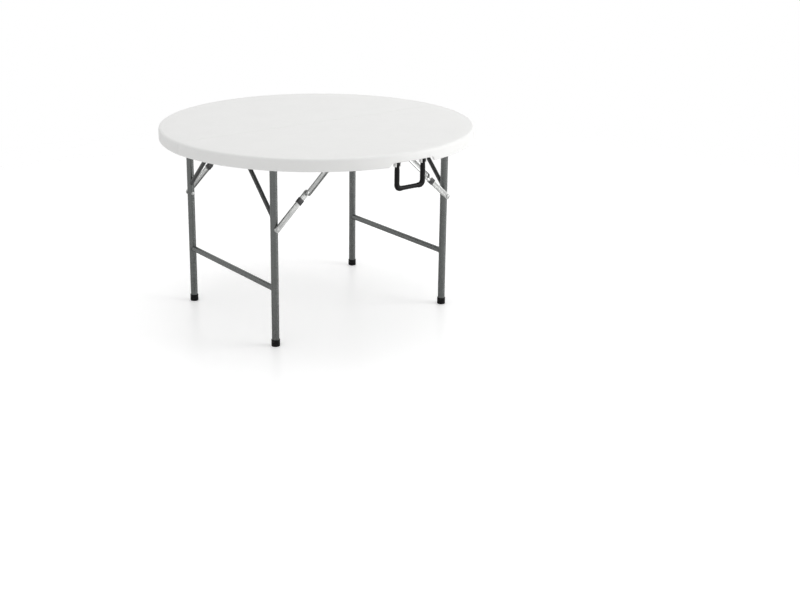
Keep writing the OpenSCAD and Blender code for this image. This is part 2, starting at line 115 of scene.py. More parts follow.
class Value:
    """A number socket of a node tree, on which Python's operators add Math nodes."""

    def __init__(self, tree: bpy.types.NodeTree, socket: bpy.types.NodeSocket) -> None:
        """Wraps one output socket of the tree."""
        self.tree = tree
        self.socket = socket

    def math(self, operation: str, other: Value | float) -> Value:
        """Adds a Math node.

        Args:
            operation: the node's operation, such as ADD.
            other: the second operand, a link or a number.

        Returns:
            The node's result.
        """
        node = self.tree.nodes.new("ShaderNodeMath")
        node.operation = operation
        for place, operand in zip(node.inputs, (self, other)):
            if isinstance(operand, Value):
                self.tree.links.new(operand.socket, place)
            else:
                place.default_value = operand
        return Value(self.tree, node.outputs[0])

    def __add__(self, other: Value | float) -> Value:
        """Sum."""
        return self.math("ADD", other)

    def __mul__(self, other: Value | float) -> Value:
        """Product."""
        return self.math("MULTIPLY", other)

    __radd__ = __add__
    __rmul__ = __mul__


class Nodes:
    """A node tree under construction."""

    def __init__(self, tree: bpy.types.NodeTree) -> None:
        """Takes the tree that is added to."""
        self.tree = tree

    def node(self, kind: str, settings: dict | None = None, **inputs: object) -> bpy.types.Node:
        """Adds a node.

        Args:
            kind: Blender's type name of the node.
            settings: the node's own properties, set first.
            inputs: values or links of its sockets, with _ for a space in a name.

        Returns:
            The new node.
        """
        made = self.tree.nodes.new(kind)
        for key, setting in (settings or {}).items():
            setattr(made, key, setting)
        for key, given in inputs.items():
            self.feed(made.inputs[key.replace("_", " ")], given)
        return made

    def value(self, node: bpy.types.Node, output: str | int) -> Value:
        """Wraps one output of a node, so that it can be reckoned with."""
        return Value(self.tree, node.outputs[output])

    def feed(self, place: bpy.types.NodeSocket, given: object) -> None:
        """Links a socket or writes a plain value into an input.

        Args:
            place: the input.
            given: an output socket, wrapped or not, or a plain value.
        """
        if isinstance(given, Value):
            self.tree.links.new(given.socket, place)
        elif isinstance(given, bpy.types.NodeSocket):
            self.tree.links.new(given, place)
        else:
            place.default_value = given


class Paint(Nodes):
    """A material under construction, with its Principled shader."""

    def __init__(self, name: str) -> None:
        """Starts a node material in which only the shader and its output stand."""
        self.material = bpy.data.materials.new(name)
        self.material.use_nodes = True
        super().__init__(self.material.node_tree)
        self.shader = self.tree.nodes["Principled BSDF"]
        self.coords = self.node("ShaderNodeTexCoord").outputs["Object"]

    def noise(self, scale: float, detail: float = 3.0, roughness: float = 0.5) -> Value:
        """Adds a noise.

        Args:
            scale: its scale per metre.
            detail: how many finer layers it has.
            roughness: how strong the finer layers are.

        Returns:
            The noise, from 0 to 1.
        """
        made = self.node("ShaderNodeTexNoise", Vector=self.coords, Scale=scale, Detail=detail,
                         Roughness=roughness)
        return self.value(made, 0)

    def cells(self, scale: float) -> Value:
        """Distance to the nearest cell centre of a cell pattern, at a scale per metre."""
        made = self.node("ShaderNodeTexVoronoi", Vector=self.coords, Scale=scale)
        return self.value(made, "Distance")

    def spread(self, value: Value, start: tuple[float, float], to: tuple[float, float]) -> Value:
        """Maps one range of a value to another.

        Args:
            value: the value.
            start: the range that is mapped.
            to: what its two ends become.

        Returns:
            The mapped value, clamped at both ends.
        """
        made = self.node("ShaderNodeMapRange")
        for place, given in zip(made.inputs, (value, *start, *to)):
            self.feed(place, given)
        return self.value(made, 0)

    def blend(self, mask: Value, first: Sequence[float],
              second: Sequence[float]) -> bpy.types.NodeSocket:
        """Mixes two colours by a mask.

        Args:
            mask: 0 for the first colour, 1 for the second.
            first: the first colour.
            second: the second colour.

        Returns:
            The socket of the mixed colour.
        """
        made = self.node("ShaderNodeMix", {"data_type": "RGBA"})
        self.feed(made.inputs[MIX_FACTOR], mask)
        made.inputs[MIX_FIRST].default_value = (*first, 1)
        made.inputs[MIX_SECOND].default_value = (*second, 1)
        return made.outputs[MIX_RESULT]

    def bump(self, height: Value, distance: float) -> None:
        """Feeds a bump of a height field, so many metres deep, into the shader."""
        made = self.node("ShaderNodeBump", Height=height, Distance=distance, Strength=1.0)
        self.feed(self.shader.inputs["Normal"], made.outputs["Normal"])


@dataclass(frozen=True)
class Finish:
    """One finish: two near colours, how they mottle, its gloss and its fine grain.

    Scales are per metre and the grain's depth is in metres. A span is the part of a noise that is
    spread over the two colours or the roughness. A fineness is a multiple of another scale.
    """

    name: str
    slot: str
    colour: tuple[float, float, float]
    worn: tuple[float, float, float]
    mottle_scale: float
    roughness: tuple[float, float]
    metallic: float
    grain_scale: float
    grain_depth: float
    coat: float = 0.0
    specular: float = 0.5
    cellular: bool = False
    mottle_span: tuple[float, float] = (0.35, 0.7)
    smear_span: tuple[float, float] = (0.3, 0.7)
    smear_fineness: float = 6.0
    swell_fineness: float = 0.3
    swell_share: float = 0.4

    def build(self) -> bpy.types.Material:
        """Makes the node material.

        Returns:
            The material, in which colour, roughness and bump vary over the surface.
        """
        paint = Paint(self.name)
        inputs = paint.shader.inputs
        broad = paint.noise(self.mottle_scale, detail=4.0, roughness=0.6)
        mask = paint.spread(broad, self.mottle_span, (0.0, 1.0))
        paint.feed(inputs["Base Color"], paint.blend(mask, self.colour, self.worn))
        smear = paint.noise(self.mottle_scale * self.smear_fineness, detail=2.0)
        paint.feed(inputs["Roughness"], paint.spread(smear, self.smear_span, self.roughness))
        inputs["Metallic"].default_value = self.metallic
        inputs["Coat Weight"].default_value = self.coat
        inputs["Specular IOR Level"].default_value = self.specular
        if self.cellular:
            grain = paint.cells(self.grain_scale)
        else:
            grain = paint.noise(self.grain_scale, detail=2.0)
        swell = paint.noise(self.grain_scale * self.swell_fineness)
        paint.bump(grain + self.swell_share * swell, self.grain_depth)
        return paint.material


FINISHES = {finish.name: finish for finish in (
    Finish("moulded_white", "hdpe", (0.80, 0.80, 0.79), (0.785, 0.785, 0.775), 9.0,
           (0.44, 0.52), 0.0, 900.0, 0.00008, cellular=True),
    Finish("black_moulding", "black_plastic", (0.004, 0.004, 0.0042), (0.007, 0.007, 0.0072), 60.0,
           (0.34, 0.42), 0.0, 1500.0, 0.00006, specular=0.12, cellular=True),
    Finish("sleeve_moulding", "black_plastic", (0.022, 0.022, 0.023), (0.034, 0.034, 0.035), 70.0,
           (0.34, 0.44), 0.0, 1500.0, 0.00006, cellular=True),
    Finish("grey_moulding", "grey_plastic", (0.07, 0.07, 0.072), (0.09, 0.09, 0.092), 50.0,
           (0.42, 0.52), 0.0, 1500.0, 0.00006, cellular=True),
    Finish("tube_coat", "grey_tube", (0.128, 0.134, 0.131), (0.138, 0.144, 0.141), 14.0,
           (0.26, 0.30), 0.95, 1100.0, 0.00001),
    Finish("stay_coat", "dark_stay", (0.026, 0.028, 0.027), (0.034, 0.036, 0.035), 18.0,
           (0.32, 0.38), 0.2, 1100.0, 0.00002, coat=0.25),
    Finish("zinc_plate", "zinc", (0.40, 0.405, 0.40), (0.50, 0.505, 0.495), 45.0,
           (0.26, 0.40), 0.9, 380.0, 0.00003, cellular=True),
    Finish("weld_metal", "grey_tube", (0.05, 0.054, 0.052), (0.075, 0.078, 0.076), 200.0,
           (0.3, 0.42), 0.25, 900.0, 0.00006, coat=0.4),
)}
MATERIALS: dict[str, bpy.types.Material] = {}


def material(name: str) -> bpy.types.Material:
    """Gives a finish's material, made once.

    Args:
        name: the finish's name.

    Returns:
        Its material.
    """
    if name not in MATERIALS:
        MATERIALS[name] = FINISHES[name].build()
    return MATERIALS[name]


def in_scene(name: str, mesh: bpy.types.Mesh) -> bpy.types.Object:
    """Makes an object of a mesh and puts it in the scene.

    Args:
        name: the object's name.
        mesh: its mesh.

    Returns:
        The object.
    """
    made = bpy.data.objects.new(name, mesh)
    bpy.context.scene.collection.objects.link(made)
    return made


def piece(name: str, mesh: bpy.types.Mesh, finish: str, body: str,
          smooth: float = 35.0) -> bpy.types.Object:
    """Makes an object of a mesh, dresses it and lets it ride on a body.

    Args:
        name: the piece's name.
        mesh: its mesh, in place.
        finish: the name of its finish.
        body: the CAD body that carries it.
        smooth: the angle in degrees under which its edges shade smooth.

    Returns:
        The finished object.
    """
    made = in_scene(name, mesh)
    mesh.materials.clear()
    mesh.materials.append(material(finish))
    mesh.polygons.foreach_set("material_index", [0] * len(mesh.polygons))
    mesh.polygons.foreach_set("use_smooth", [True] * len(mesh.polygons))
    mesh.set_sharp_from_angle(angle=math.radians(smooth))
    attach(made, body)
    log.info("%s: %d faces on %s", name, len(mesh.polygons), body)
    return made


def grid_mesh(name: str, points: np.ndarray, wrap_u: bool, wrap_v: bool,
              caps: bool = False) -> bpy.types.Mesh:
    """Makes a mesh of a grid of points.

    Args:
        name: the mesh's name.
        points: an array of rows, columns and 3 coordinates.
        wrap_u: whether the last row joins the first.
        wrap_v: whether the last column joins the first.
        caps: whether the first and last row are closed with a face.

    Returns:
        The mesh, with doubles merged and faces pointing outwards.
    """
    rows, columns = points.shape[:2]
    faces = []
    for u in range(rows if wrap_u else rows - 1):
        for v in range(columns if wrap_v else columns - 1):
            u2, v2 = (u + 1) % rows, (v + 1) % columns
            faces.append((u * columns + v, u * columns + v2, u2 * columns + v2, u2 * columns + v))
    if caps:
        faces.append(tuple(range(columns)))
        faces.append(tuple(range((rows - 1) * columns, rows * columns)))
    mesh = bpy.data.meshes.new(name)
    mesh.from_pydata(points.reshape(-1, 3).tolist(), [], faces)
    work = bmesh.new()
    work.from_mesh(mesh)
    bmesh.ops.remove_doubles(work, verts=work.verts, dist=MERGE_DISTANCE)
    bmesh.ops.dissolve_degenerate(work, edges=work.edges, dist=MERGE_DISTANCE / 10)
    bmesh.ops.recalc_face_normals(work, faces=work.faces)
    work.to_mesh(mesh)
    work.free()
    return mesh


def lathe(name: str, profile: Sequence[tuple[float, float]], centre: Vector, axis: Vector,
          segments: int = 64) -> bpy.types.Mesh:
    """Turns a closed profile about an axis.

    Args:
        name: the mesh's name.
        profile: radius and height along the axis of each point.
        centre: the point on the axis at height 0.
        axis: the axis's direction.
        segments: how many steps make the turn.

    Returns:
        The turned mesh.
    """
    turn = axis.to_track_quat("Z", "Y").to_matrix()
    outline = np.array(profile)
    angles = np.linspace(0, 2 * math.pi, segments, endpoint=False)
    flat = np.stack([np.outer(np.cos(angles), outline[:, 0]),
                     np.outer(np.sin(angles), outline[:, 0]),
                     np.tile(outline[:, 1], (segments, 1))], axis=2)
    return grid_mesh(name, flat @ np.array(turn).T + np.array(centre), True, True)


def join(name: str, meshes: Iterable[bpy.types.Mesh]) -> bpy.types.Mesh:
    """Puts several meshes into one and removes them.

    Args:
        name: the new mesh's name.
        meshes: the meshes that are joined.

    Returns:
        The joined mesh.
    """
    work = bmesh.new()
    for mesh in meshes:
        work.from_mesh(mesh)
        bpy.data.meshes.remove(mesh)
    made = bpy.data.meshes.new(name)
    work.to_mesh(made)
    work.free()
    return made


def smooth_step(value: np.ndarray, low: float, high: float) -> np.ndarray:
    """Smooth ramp from 0 at low to 1 at high."""
    share = np.clip((value - low) / (high - low), 0, 1)
    return share * share * (3 - 2 * share)


@dataclass
class TopHalf:
    """One moulded half of the round top, with its dimpled underside and rolled skirt.

    Lengths are in metres. The clear zones are where the dimples leave room for other pieces,
    as distances from the middle of the table.
    """

    face: Face
    panel: float = 20 * MM
    skirt: float = 12 * MM
    edge: float = 10 * MM
    inner_fillet: float = 6 * MM
    notch_half: float = 95 * MM
    notch_rise: float = 15 * MM
    notch_ease: float = 7 * MM
    dimple_pitch: float = 50 * MM
    dimple_radius: float = 17 * MM
    dimple_depth: float = 8 * MM
    dimple_floor: float = 0.35
    dimple_reach: float = 0.57
    first_row: float = 0.062
    rail_zone: tuple[float, float] = (0.315, 0.392)
    rail_half: float = 0.46
    block_middle: tuple[float, float] = (0.396, 0.211)
    block_half: tuple[float, float] = (0.055, 0.032)
    lug_zone: float = 0.55
    lug_half: float = 0.1
    ring_step: float = 5 * MM
    panel_rings: int = 14
    edge_steps: int = 9
    lip_steps: int = 13
    fillet_steps: int = 6
    segments: int = 360
    smooth: float = 40.0

    @property
    def node(self) -> str:
        """Name of the CAD node that the half replaces."""
        return f"top_half_{self.face.word}"

    def profile(self, radius: float, low: float,
                high: float) -> tuple[list[tuple[float, float]], list[Zone]]:
        """Section of the half from the middle of the top to the middle of the underside.

        Args:
            radius: the top's radius.
            low: height of the skirt's lower edge.
            high: height of the upper face.

        Returns:
            The points as radius and height, and the zone of each.
        """
        points = [(share * (radius - self.edge), high)
                  for share in np.linspace(0, 1, self.panel_rings)]
        for angle in np.linspace(math.pi / 2, 0, self.edge_steps)[1:]:
            points.append((radius - self.edge + self.edge * math.cos(angle),
                           high - self.edge + self.edge * math.sin(angle)))
        zones = [Zone.TOP] * len(points)
        bead = self.skirt / 2
        for angle in np.linspace(0, -math.pi, self.lip_steps):
            points.append((radius - bead + bead * math.cos(angle),
                           low + bead + bead * math.sin(angle)))
            zones.append(Zone.LIP)
        inner = radius - self.skirt - self.inner_fillet
        under = high - self.panel
        for angle in np.linspace(0, math.pi / 2, self.fillet_steps):
            points.append((inner + self.inner_fillet * math.cos(angle),
                           under - self.inner_fillet + self.inner_fillet * math.sin(angle)))
            zones.append(Zone.FILLET)
        rings = int(inner / self.ring_step)
        for share in np.linspace(1, 0, rings)[1:]:
            points.append((share * inner, under))
            zones.append(Zone.UNDER)
        return points, zones

    def dimples(self, x: np.ndarray, y: np.ndarray) -> np.ndarray:
        """Rise of the underside at each point: round dimples on a staggered pattern.

        The dimples keep clear of the hinges, rails, blocks, lugs and the skirt.

        Args:
            x: the points' places along the fold line.
            y: their distances from it, towards the rear or the front.

        Returns:
            The rise at each point.
        """
        far = np.abs(y)
        row_step = self.dimple_pitch * STAGGER
        row = np.round((far - self.first_row) / row_step)
        shift = np.where(row % 2 == 0, 0.0, 0.5) * self.dimple_pitch
        column = np.round((x - shift) / self.dimple_pitch)
        cx, cy = column * self.dimple_pitch + shift, row * row_step + self.first_row
        keep = (np.hypot(cx, cy) < self.dimple_reach) & (row >= 0)
        keep &= ~((cy > self.rail_zone[0]) & (cy < self.rail_zone[1])
                  & (np.abs(cx) < self.rail_half))
        keep &= ~((np.abs(cy - self.block_middle[1]) < self.block_half[1])
                  & (np.abs(np.abs(cx) - self.block_middle[0]) < self.block_half[0]))
        if self.face is Face.FRONT:
            keep &= ~((cy > self.lug_zone) & (np.abs(cx) < self.lug_half))
        away = np.hypot(x - cx, far - cy) / self.dimple_radius
        bowl = 1 - smooth_step(away, self.dimple_floor, 1.0)
        return np.where(keep, bowl * self.dimple_depth, 0.0)

    def build(self) -> None:
        """Builds the half and puts it in the CAD node's place."""
        low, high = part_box(self.node)
        seam = low.y if self.face is Face.REAR else -high.y
        points, zones = self.profile(high.x, low.z, high.z)
        outline = np.array(points)
        angles = np.linspace(0, math.pi, self.segments + 1)
        x = np.outer(np.cos(angles), outline[:, 0])
        y = seam + np.outer(np.sin(angles), outline[:, 0]) * (1 - seam / high.x)
        z = np.tile(outline[:, 1], (len(angles), 1))
        under = np.array([zone is Zone.UNDER for zone in zones])
        z[:, under] += self.dimples(x[:, under], y[:, under])
        if self.face is Face.FRONT:
            lip = np.array([zone is Zone.LIP for zone in zones])
            lift = 1 - smooth_step(np.abs(x[:, lip]), self.notch_half - self.notch_ease,
                                   self.notch_half + self.notch_ease)
            z[:, lip] += self.notch_rise * lift
        y = y * self.face.value
        name = f"top_shell_{self.face.word}"
        mesh = grid_mesh(name, np.stack([x, y, z], axis=2), False, False, True)
        made = piece(name, mesh, "moulded_white", "top", self.smooth)
        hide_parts(self.node)


@dataclass
class SoftEdges:
    """Copies of sharp CAD nodes with their doubles merged and their edges rounded."""

    width: float = 0.4 * MM
    segments: int = 2
    merge: float = 2 * MERGE_DISTANCE
    flat: float = math.radians(0.6)
    sharp: float = math.radians(40)
    smooth: float = 30.0

    def build(self, node: str, source: bpy.types.Object, finish: str, body: str,
              bevel: bool) -> None:
        """Makes the rounded copy of one node and puts it in the node's place.

        Args:
            node: the CAD node's name.
            source: its object.
            finish: the finish of the copy.
            body: the body that carries it.
            bevel: whether its edges are rounded, or only shaded smooth where they should be.
        """
        mesh = source.data.copy()
        mesh.name = f"{node}_shape"
        work = bmesh.new()
        work.from_mesh(mesh)
        bmesh.ops.remove_doubles(work, verts=work.verts, dist=self.merge)
        bmesh.ops.dissolve_limit(work, angle_limit=self.flat, verts=work.verts, edges=work.edges)
        if bevel:
            edges = [edge for edge in work.edges
                     if len(edge.link_faces) == 2 and edge.calc_face_angle(0) > self.sharp]
            bmesh.ops.bevel(work, geom=edges, offset=self.width, offset_type="OFFSET",
                            segments=self.segments, profile=0.5, affect="EDGES",
                            clamp_overlap=True)
        work.to_mesh(mesh)
        work.free()
        made = piece(f"{node}_piece", mesh, finish, body, self.smooth)
        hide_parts(node)


# Outline of a foot cap in mm: how far inside its radius, and how high.
CAP_FOOT = ((2.6, 0.0), (1.2, 0.5), (0.3, 1.6), (0.2, 3.0))
CAP_RING = ((0.2, 0.0), (0.8, 0.4), (0.8, 1.2), (0.2, 1.6))
CAP_LIP = ((0.5, -4.0), (0.0, -3.0), (0.0, -1.0), (0.4, -0.2), (1.0, 0.0))


@dataclass
class FootCap:
    """Moulded cap on a leg's foot, with a rolled lip and two grip rings."""

    face: Face
    side: Side
    floor: float = 4 * MM
    chamfer: float = 0.5 * MM
    rings: tuple[float, float] = (7 * MM, 10 * MM)

    def build(self) -> None:
        """Turns the cap and puts it in its node's place."""
        node = f"foot_cap_{self.face.word}_{self.side.word}"
        low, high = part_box(f"leg_{self.face.word}_{self.side.word}")
        tube = (high.x - low.x) / 2
        low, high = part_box(node)
        centre = (low + high) / 2
        radius, height = (high.x - low.x) / 2, high.z
        profile = [(0, 0)]
        starts = [(0, CAP_FOOT), *((ring, CAP_RING) for ring in self.rings), (height, CAP_LIP)]
        for start, outline in starts:
            profile += [(radius - inset * MM, start + rise * MM) for inset, rise in outline]
        profile += [(tube + self.chamfer, height), (tube, height - self.chamfer),
                    (tube, self.floor), (0, self.floor)]
        mesh = lathe(f"{node}_shape", profile, Vector((centre.x, centre.y, 0)), Vector((0, 0, 1)))
        made = piece(f"{node}_piece", mesh, "black_moulding", f"{self.side.word}_frame")
        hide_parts(node)


@dataclass
class CarryHandle:
    """U-shaped carry handle of black plastic, thicker at its lower corners, with a ribbed grip.

    The swells and the taper are shares of the bar's radius. The ramps are heights above the
    bar's lower run or depths below the pin, between which they set in.
    """

    thickness: float = 15.6 * MM
    bend: float = 16 * MM
    arm_swell: float = 0.16
    arm_ramp: tuple[float, float] = (16 * MM, 34 * MM)
    corner_swell: float = 0.30
    corner_reach: float = 0.018
    eye_taper: float = 0.14
    eye_ramp: tuple[float, float] = (26 * MM, 12 * MM)
    rib_depth: float = 0.35 * MM
    rib_edge: float = 0.3
    ribs: int = 11
    grip_end: float = 0.022
    squareness: float = 0.8
    pin: float = 3.05 * MM
    eye_lip: float = 1.2 * MM
    pin_chamfer: float = 0.3 * MM
    steps: int = 220
    sides: int = 28
    eye_segments: int = 40
    smooth: float = 50.0

    def path(self, half: float, top: float, low: float) -> tuple[np.ndarray, np.ndarray]:
        """Centre line of the bar in X and Z from the left eye round to the right eye.

        Args:
            half: distance of the arms' axes from the middle.
            top: height of the pin.
            low: height of the lower run's axis.

        Returns:
            The points, and for each its distance along the bar from the nearest corner's middle.
        """
        bend = self.bend
        straight = top - low - bend
        corner = bend * math.pi / 2
        flat = 2 * (half - bend)
        total = 2 * straight + 2 * corner + flat
        points = []
        near = []
        for run in np.linspace(0, total, self.steps):
            side = -1 if run <= total / 2 else 1
            s = run if run <= total / 2 else total - run
            if s <= straight:
                x, z = half, top - s
            elif s <= straight + corner:
                angle = (s - straight) / bend
                x, z = half - bend + bend * math.cos(angle), low + bend - bend * math.sin(angle)
            else:
                x, z = half - bend - (s - straight - corner), low
            points.append((side * x, z))
            near.append(abs(s - straight - corner / 2))
        return np.array(points), np.array(near)

    def bar(self, half: float, top: float, low: float, radius: float, y: float) -> bpy.types.Mesh:
        """Sweeps the bar along its centre line.

        Args:
            half: distance of the arms' axes from the middle.
            top: height of the pin.
            low: height of the lower run's axis.
            radius: the bar's radius.
            y: the bar's place from front to rear.

        Returns:
            The bar's mesh.
        """
        line, near = self.path(half, top, low)
        ahead = np.gradient(line, axis=0)
        ahead /= np.linalg.norm(ahead, axis=1)[:, None]
        across = np.stack([ahead[:, 1], -ahead[:, 0]], axis=1)
        height = line[:, 1]
        swell = 1 + self.corner_swell * np.exp(-(near / self.corner_reach) ** 2)
        swell += self.arm_swell * smooth_step(height, low + self.arm_ramp[0],
                                              low + self.arm_ramp[1])
        swell -= self.eye_taper * smooth_step(height, top - self.eye_ramp[0],
                                              top - self.eye_ramp[1])
        grip_half = half - self.grip_end
        grip = (np.abs(line[:, 0]) < grip_half) & (height < low + MM)
        wave = np.cos(line[:, 0] / grip_half * math.pi * self.ribs / 2)
        ripple = np.where(grip, wave - 1, 0) / 2
        angles = np.linspace(0, 2 * math.pi, self.sides, endpoint=False)
        cosine = np.sign(np.cos(angles)) * np.abs(np.cos(angles)) ** self.squareness
        sine = np.sign(np.sin(angles)) * np.abs(np.sin(angles)) ** self.squareness
        reach = radius * swell[:, None] * cosine[None, :]
        depth = (self.thickness / 2) * np.ones_like(swell)[:, None] * sine[None, :]
        ribbed = np.where(np.abs(cosine) > self.rib_edge, np.sign(cosine), 0)
        reach += ribbed[None, :] * (ripple * self.rib_depth)[:, None]
        points = np.stack([line[:, :1] + across[:, :1] * reach, y + depth,
                           line[:, 1:] + across[:, 1:] * reach], axis=2)
        return grid_mesh("handle_bar", points, False, True, True)

    def build(self) -> None:
        """Builds the bar and both eyes and puts the handle in its node's place."""
        low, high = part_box("handle")
        radius = (high.y - low.y) / 2
        half = high.x - radius
        top, bottom = high.z - radius, low.z + radius
        y = (high.y + low.y) / 2
        bar = self.bar(half, top, bottom, radius, y)
        lip, chamfer = self.eye_lip, self.pin_chamfer
        eye = [(self.pin, chamfer - radius), (radius - lip, -radius), (radius, lip - radius),
               (radius, radius - lip), (radius - lip, radius), (self.pin, radius - chamfer)]
        eyes = [lathe("eye", eye, Vector((side.value * half, y, top)), Vector((1, 0, 0)),
                      self.eye_segments) for side in Side]
        mesh = join("handle_shape", [bar, *eyes])
        made = piece("carry_handle", mesh, "black_moulding", "handle", self.smooth)
        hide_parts("handle")


# Outline of a plug's dome: its share of the radius, and how high in mm.
PLUG_DOME = ((0.0, 2.2), (0.5, 2.0), (0.85, 1.3), (1.0, 0.3), (1.0, 0.0))


@dataclass
class LegFrame:
    """Places of one leg frame, read from its CAD nodes, and its welds and plugs."""

    side: Side
    stay_foot: float = 484 * MM
    bead: float = 1.5 * MM
    ripple: float = 0.35 * MM
    ripple_step: float = math.pi / 3
    sink: float = 0.995
    curve_steps: int = 72
    bead_sides: int = 8
    bead_smooth: float = 60.0
    plug_gap: float = 0.3 * MM
    plug_rim: float = 2 * MM
    plug_depth: float = 6 * MM
    plug_segments: int = 40

    def __post_init__(self) -> None:
        """Reads the frame's axes and radii."""
        word = self.side.word
        self.body = f"{word}_frame"
        low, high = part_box(f"pivot_tube_rear_{word}")
        self.tube = (high.x - low.x) / 2
        self.x = (high.x + low.x) / 2
        self.pivot_z = (high.z + low.z) / 2
        self.inner_y = low.y
        low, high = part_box(f"leg_rear_{word}")
        self.leg_y = (high.y + low.y) / 2
        low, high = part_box(f"stretcher_{word}")
        self.cross = (high.x - low.x) / 2
        self.cross_z = (high.z + low.z) / 2
        low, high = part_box(f"stay_rear_{word}")
        self.stay = (high.x - low.x) / 2

    def saddle(self, radius: float,
               place: Callable[[float, float], tuple[float, float]]) -> np.ndarray:
        """Closed curve where a tube of a radius meets another.

        Args:
            radius: the smaller tube's radius.
            place: gives Y and Z from the offset across and the offset along the joint.

        Returns:
            The curve's points.
        """
        points = []
        for angle in np.linspace(0, 2 * math.pi, self.curve_steps, endpoint=False):
            dx, along = radius * math.cos(angle), radius * math.sin(angle)
            y, z = place(dx, along)
            points.append((self.x + dx, y, z))
        return np.array(points)

    def bead_mesh(self, curve: np.ndarray) -> bpy.types.Mesh:
        """Sweeps a rippled bead along a closed curve.

        Args:
            curve: the curve's points.

        Returns:
            The bead's mesh.
        """
        ahead = np.roll(curve, -1, axis=0) - np.roll(curve, 1, axis=0)
        ahead /= np.linalg.norm(ahead, axis=1)[:, None]
        outward = curve - curve.mean(0)
        outward -= (outward * ahead).sum(1)[:, None] * ahead
        outward /= np.linalg.norm(outward, axis=1)[:, None]
        third = np.cross(ahead, outward)
        turns = np.linspace(0, 2 * math.pi, self.bead_sides, endpoint=False)
        waves = np.abs(np.sin(np.arange(len(curve)) * self.ripple_step))
        size = self.bead + self.ripple * waves
        rings = curve[:, None, :] + size[:, None, None] * (
            np.cos(turns)[None, :, None] * outward[:, None, :]
            + np.sin(turns)[None, :, None] * third[:, None, :])
        return grid_mesh("bead", rings, True, True)

    def welds(self) -> None:
        """Weld beads where the stretcher, the stays and the pivot tubes meet the legs."""
        def depth(dx: float) -> float:
            """Distance from a tube's axis to its surface at an offset across it."""
            return math.sqrt(max(self.tube ** 2 - dx ** 2, 0.0))

        beads = []
        for face in Face:
            sign = face.value
            beads.append(self.saddle(self.cross, lambda dx, along: (
                sign * (self.leg_y - depth(dx)), self.cross_z + along)))
            beads.append(self.saddle(self.tube * self.sink, lambda dx, along: (
                sign * (self.leg_y + along), self.pivot_z - depth(dx))))
            beads.append(self.saddle(self.stay, lambda dx, along: (
                sign * (self.leg_y - depth(dx)),
                self.stay_foot + depth(dx) + along * math.sqrt(2))))
            beads.append(self.saddle(self.stay, lambda dx, along: (
                sign * (self.leg_y - (self.pivot_z - depth(dx) - self.stay_foot)
                        + along * math.sqrt(2)),
                self.pivot_z - depth(dx))))
        name = f"welds_{self.side.word}"
        mesh = join(name, [self.bead_mesh(curve) for curve in beads])
        piece(name, mesh, "weld_metal", self.body, self.bead_smooth)

    def plugs(self) -> None:
        """Black domed plugs in the inner ends of the pivot tubes."""
        radius = self.tube - self.plug_gap
        inner = radius - self.plug_rim
        dome = [(radius * share, rise * MM) for share, rise in PLUG_DOME]
        dome += [(inner, 0), (inner, -self.plug_depth), (0, -self.plug_depth)]
        meshes = [lathe("plug", dome, Vector((self.x, face.value * self.inner_y, self.pivot_z)),
                        Vector((0, -face.value, 0)), self.plug_segments) for face in Face]
        mesh = join(f"plugs_{self.side.word}", meshes)
        piece(f"tube_plugs_{self.side.word}", mesh, "black_moulding", self.body)


class Scatter:
    """A Geometry Nodes tree that stands copies of a small shape on points."""

    SEED = 7

    def __init__(self, name: str, shape: bpy.types.Object, finish: str, spin: float) -> None:
        """Builds the tree.

        Args:
            name: the tree's name.
            shape: the object that is copied.
            finish: the finish of the copies.
            spin: how far each copy may turn about its own axis, in radians.
        """
        self.spin = spin
        self.tree = bpy.data.node_groups.new(name, "GeometryNodeTree")
        face = self.tree.interface
        face.new_socket("Geometry", in_out="INPUT", socket_type="NodeSocketGeometry")
        self.input = face.new_socket("Spin", in_out="INPUT", socket_type="NodeSocketFloat")
        face.new_socket("Geometry", in_out="OUTPUT", socket_type="NodeSocketGeometry")
        nodes = Nodes(self.tree)
        source = nodes.node("NodeGroupInput").outputs
        points = nodes.node("GeometryNodeMeshToPoints", Mesh=source["Geometry"])
        copied = nodes.node("GeometryNodeObjectInfo", Object=shape)
        turn = nodes.node("FunctionNodeRandomValue", {"data_type": "FLOAT"}, Seed=self.SEED)
        nodes.feed(turn.inputs[RANDOM_MAX], source["Spin"])
        about = nodes.node("ShaderNodeCombineXYZ", Z=turn.outputs[RANDOM_RESULT])
        place = nodes.node("GeometryNodeInstanceOnPoints", Points=points.outputs[0],
                           Instance=copied.outputs["Geometry"], Rotation=about.outputs[0])
        real = nodes.node("GeometryNodeRealizeInstances", Geometry=place.outputs[0])
        dress = nodes.node("GeometryNodeSetMaterial", Geometry=real.outputs[0],
                           Material=material(finish))
        nodes.node("NodeGroupOutput", Geometry=dress.outputs[0])

    def mesh(self, name: str, points: Sequence[Sequence[float]]) -> bpy.types.Mesh:
        """Runs the tree on points.

        Args:
            name: what its helpers are called.
            points: the places of the copies.

        Returns:
            The copies as one plain mesh.
        """
        seeds = bpy.data.meshes.new(f"{name}_points")
        seeds.from_pydata([tuple(point) for point in points], [], [])
        holder = in_scene(f"{name}_holder", seeds)
        modifier = holder.modifiers.new("scatter", "NODES")
        modifier.node_group = self.tree
        modifier[self.input.identifier] = self.spin
        graph = bpy.context.evaluated_depsgraph_get()
        made = bpy.data.meshes.new_from_object(holder.evaluated_get(graph))
        holder.modifiers.remove(modifier)
        bpy.data.objects.remove(holder)
        return made


